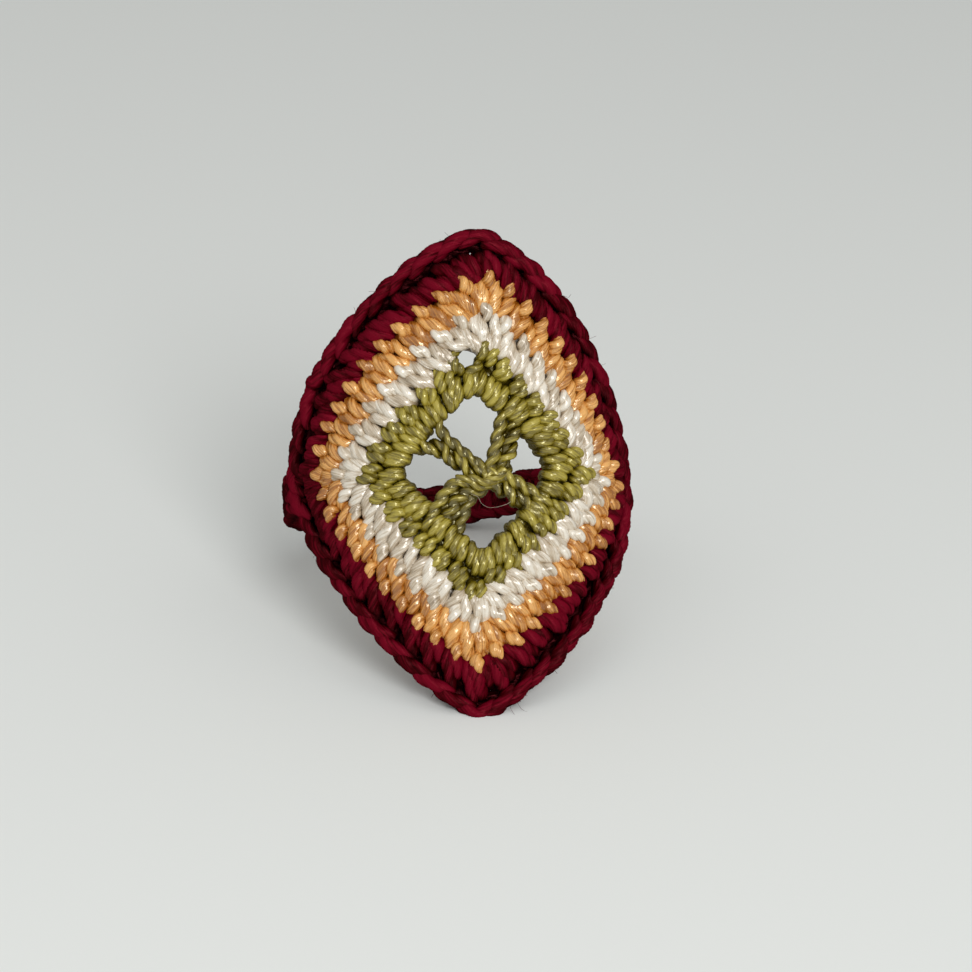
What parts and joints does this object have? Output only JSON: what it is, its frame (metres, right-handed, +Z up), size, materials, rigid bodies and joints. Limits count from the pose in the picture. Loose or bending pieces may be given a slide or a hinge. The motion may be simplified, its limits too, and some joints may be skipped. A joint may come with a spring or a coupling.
{
  "type": "crochet finger ring",
  "caption": "Crocheted finger ring: an on-point square motif in concentric coloured rounds with an open lace cross, wrapped on the finger and closed by a narrow crocheted band.",
  "frame": {"origin": "on the table, under the middle of the ring as it stands on its lower tip and the back of its band", "axes": "+X to the wearer's right of the motif, +Y from the motif to the band behind the finger, +Z up from the table"},
  "size_m": [0.0218, 0.0238, 0.0234],
  "materials": {
    "olive_thread": "mercerised, plied",
    "cream_thread": "mercerised, plied",
    "orange_thread": "mercerised, plied",
    "burgundy_thread": "mercerised, slightly fuzzy, plied"
  },
  "bodies": {
    "motif": {"centre_knot": "olive_thread", "post_upper_right": "olive_thread", "post_upper_left": "olive_thread", "post_lower_left": "olive_thread", "post_lower_right": "olive_thread", "chain_arc_right": "olive_thread", "chain_arc_top": "olive_thread", "chain_arc_left": "olive_thread", "chain_arc_bottom": "olive_thread", "olive_round": "olive_thread", "cream_round": "cream_thread", "orange_round": "orange_thread", "burgundy_border": "burgundy_thread", "border_edge_chain": "burgundy_thread", "band_join_right": "burgundy_thread", "band_join_left": "burgundy_thread"},
    "band": {"finger_band": "burgundy_thread"}
  },
  "joints": [
    {"name": "band_swing", "type": "hinge", "parent": "motif", "child": "band", "pos_m": [0, 0.00249, 0.00668], "axis": [1, 0, 0], "range_deg": [-20, 20]}
  ]
}
